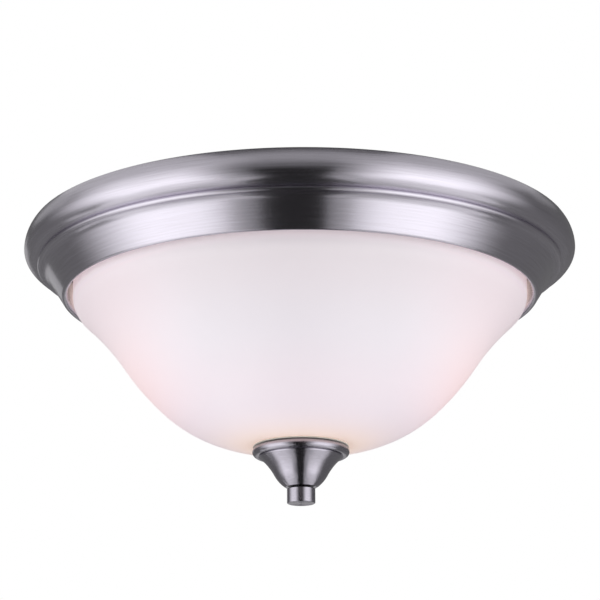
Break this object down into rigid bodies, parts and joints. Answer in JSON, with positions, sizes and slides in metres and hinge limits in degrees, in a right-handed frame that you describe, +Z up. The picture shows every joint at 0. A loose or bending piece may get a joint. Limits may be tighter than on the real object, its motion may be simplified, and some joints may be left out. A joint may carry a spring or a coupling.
{
  "type": "ceiling light",
  "caption": "Round flush ceiling light: a spun brushed-nickel canopy with a rolled edge, an opal glass bowl, and a bell cup and knob that hold the bowl on a centre rod.",
  "frame": {"origin": "centre of the ceiling plane, at the middle of the outlet box slots", "axes": "+Z up into the ceiling, +X along the mounting strap"},
  "size_m": [0.33, 0.33, 0.1635],
  "materials": {
    "brushed_nickel": "fine circular brushing, satin",
    "white_enamel": "gloss white enamel",
    "zinc_steel": "bright zinc plating",
    "rivet_aluminium": "satin",
    "glass_wool": "matted fibre",
    "ground_green": "dyed plating",
    "bare_copper": "bare drawn wire",
    "clear_rubber": "matt translucent",
    "opal_glass": "smooth satin opal",
    "porcelain": "glazed",
    "plated_shell": "nickel plated",
    "contact_brass": "rolled strip",
    "lamp_cap": "bright rolled",
    "lamp_solder": "dull solder",
    "lamp_insulator": "dark fused glass",
    "frosted_glass": "frosted",
    "wire_black": "extruded insulation",
    "wire_white": "extruded insulation",
    "nylon": "moulded",
    "connector_plastic": "moulded"
  },
  "bodies": {
    "fixture": {"canopy": "brushed_nickel", "reflector_plate": "white_enamel", "plate_rivets": "rivet_aluminium", "insulation_pad": "glass_wool", "mounting_strap": "zinc_steel", "mounting_studs": "zinc_steel", "strap_nuts": "zinc_steel", "lock_washers": "zinc_steel", "cap_nuts": "zinc_steel", "ground_screws": "ground_green", "ground_lead": "bare_copper", "center_rod": "zinc_steel", "rod_nuts": "zinc_steel", "rod_washers": "zinc_steel", "rim_bumpers": "clear_rubber", "socket_bracket_1": "zinc_steel", "socket_bracket_2": "zinc_steel", "bracket_rivets": "rivet_aluminium", "socket_screws": "zinc_steel", "socket_body_1": "porcelain", "socket_body_2": "porcelain", "screw_shell_1": "plated_shell", "screw_shell_2": "plated_shell", "center_contact_1": "contact_brass", "center_contact_2": "contact_brass", "wire_bushings": "nylon", "wire_connector_black": "connector_plastic", "wire_connector_white": "connector_plastic", "lead_black_1": "wire_black", "lead_white_1": "wire_white", "lead_black_2": "wire_black", "lead_white_2": "wire_white"},
    "shade": {"glass_bowl": "opal_glass", "glass_bushing": "clear_rubber"},
    "finial_ring": {"cup_gasket": "clear_rubber"},
    "finial": {"finial_cup": "brushed_nickel", "finial_knob": "brushed_nickel"},
    "lamp_1_contact": {"bulb_tip_1": "lamp_solder", "bulb_insulator_1": "lamp_insulator"},
    "lamp_1": {"bulb_cap_1": "lamp_cap", "bulb_envelope_1": "frosted_glass"},
    "lamp_2_contact": {"bulb_tip_2": "lamp_solder", "bulb_insulator_2": "lamp_insulator"},
    "lamp_2": {"bulb_cap_2": "lamp_cap", "bulb_envelope_2": "frosted_glass"}
  },
  "joints": [
    {"name": "shade_lower", "type": "slide", "parent": "fixture", "child": "shade", "axis": [0, 0, -1], "range_m": [0, 0.15]},
    {"name": "finial_travel", "type": "slide", "parent": "shade", "child": "finial_ring", "axis": [0, 0, -1], "range_m": [0, 0.00601]},
    {"name": "knob_turn", "type": "hinge", "parent": "finial_ring", "child": "finial", "pos_m": [0, 0, -0.158], "axis": [0, 0, -1], "range_deg": [0, 2160]},
    {"name": "lamp_1_advance", "type": "slide", "parent": "fixture", "child": "lamp_1_contact", "axis": [1, 0, 0], "range_m": [0, 0.01815]},
    {"name": "lamp_1_turn", "type": "hinge", "parent": "lamp_1_contact", "child": "lamp_1", "pos_m": [0, 0.045, -0.051], "axis": [1, 0, 0], "range_deg": [0, 1800]},
    {"name": "lamp_2_advance", "type": "slide", "parent": "fixture", "child": "lamp_2_contact", "axis": [-1, 0, 0], "range_m": [0, 0.01815]},
    {"name": "lamp_2_turn", "type": "hinge", "parent": "lamp_2_contact", "child": "lamp_2", "pos_m": [0, -0.045, -0.051], "axis": [-1, 0, 0], "range_deg": [0, 1800]}
  ],
  "couplings": [
    {"joint": "finial_travel", "follows": "knob_turn", "m_per_rad": 0.00015915},
    {"joint": "lamp_1_advance", "follows": "lamp_1_turn", "m_per_rad": 0.00057757},
    {"joint": "lamp_2_advance", "follows": "lamp_2_turn", "m_per_rad": 0.00057757}
  ]
}
